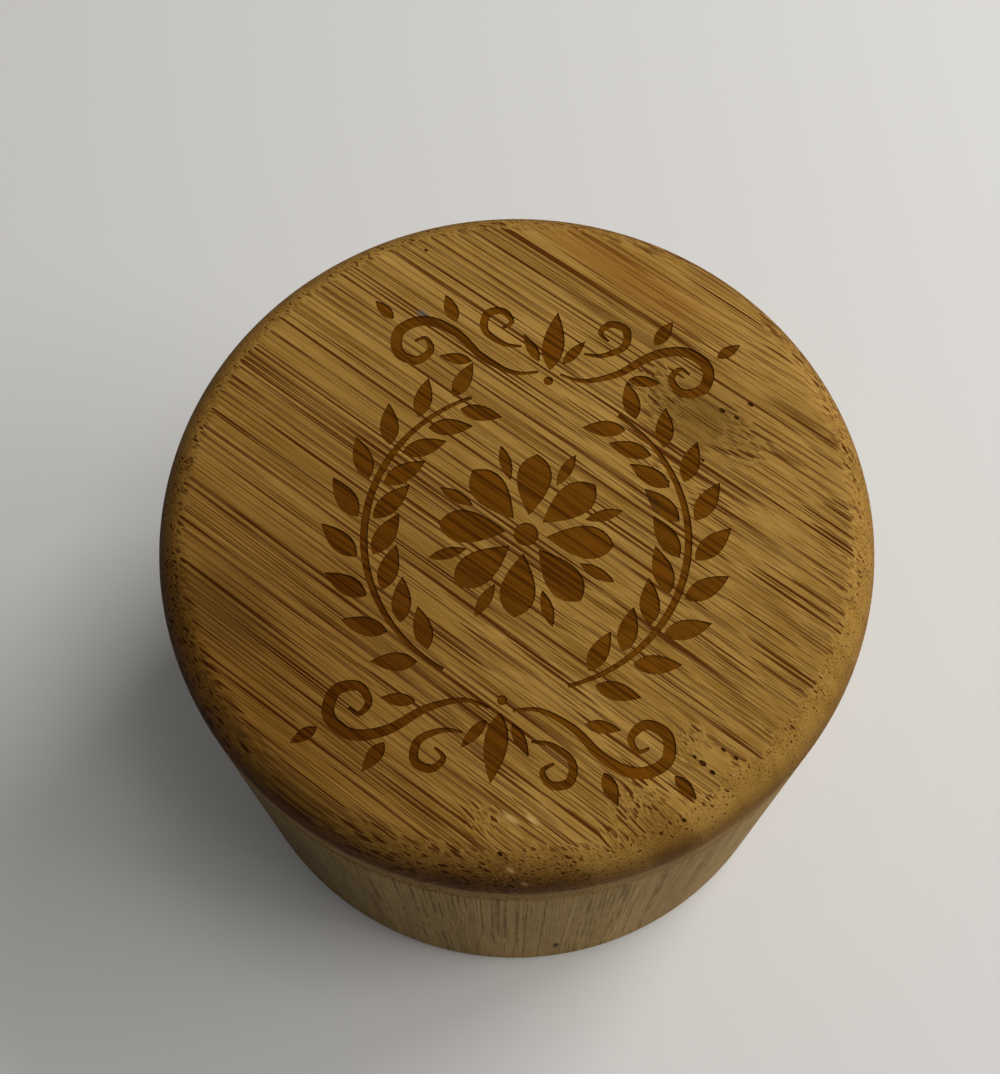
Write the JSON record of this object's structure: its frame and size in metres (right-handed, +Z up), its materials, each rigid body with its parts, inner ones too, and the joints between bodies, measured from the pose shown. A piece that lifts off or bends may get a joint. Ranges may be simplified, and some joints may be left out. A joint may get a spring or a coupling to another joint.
{
  "type": "salt box with swivel lid",
  "caption": "Round turned bamboo salt box whose rounded flat lid swings sideways on a hidden upright pin and is held shut by small disc magnets.",
  "frame": {"origin": "centre of the round base, on the surface that the box stands on", "axes": "+Z up the box's axis to the lid's top, -Y to the front where the magnets are, +Y to the pivot pin in the back wall, +X to the right seen from the front"},
  "size_m": [0.089, 0.089, 0.07],
  "materials": {
    "body_bamboo": "satin oiled bamboo, grain upright",
    "lid_bamboo": "satin oiled bamboo, grain across, engraved ornament burnt brown",
    "steel": "ground dowel pin",
    "nickel": "bright nickel plate",
    "nylon": "natural nylon"
  },
  "bodies": {
    "box": {"body": "body_bamboo", "body_magnet_left": "nickel", "body_magnet_right": "nickel", "pivot_washer": "nylon"},
    "lid": {"lid": "lid_bamboo", "lid_magnet_left": "nickel", "lid_magnet_right": "nickel", "pivot_pin": "steel"}
  },
  "joints": [
    {"name": "lid_swivel", "type": "hinge", "parent": "box", "child": "lid", "pos_m": [0, 0.03975, 0.0578], "axis": [0, 0, 1], "continuous": true}
  ]
}
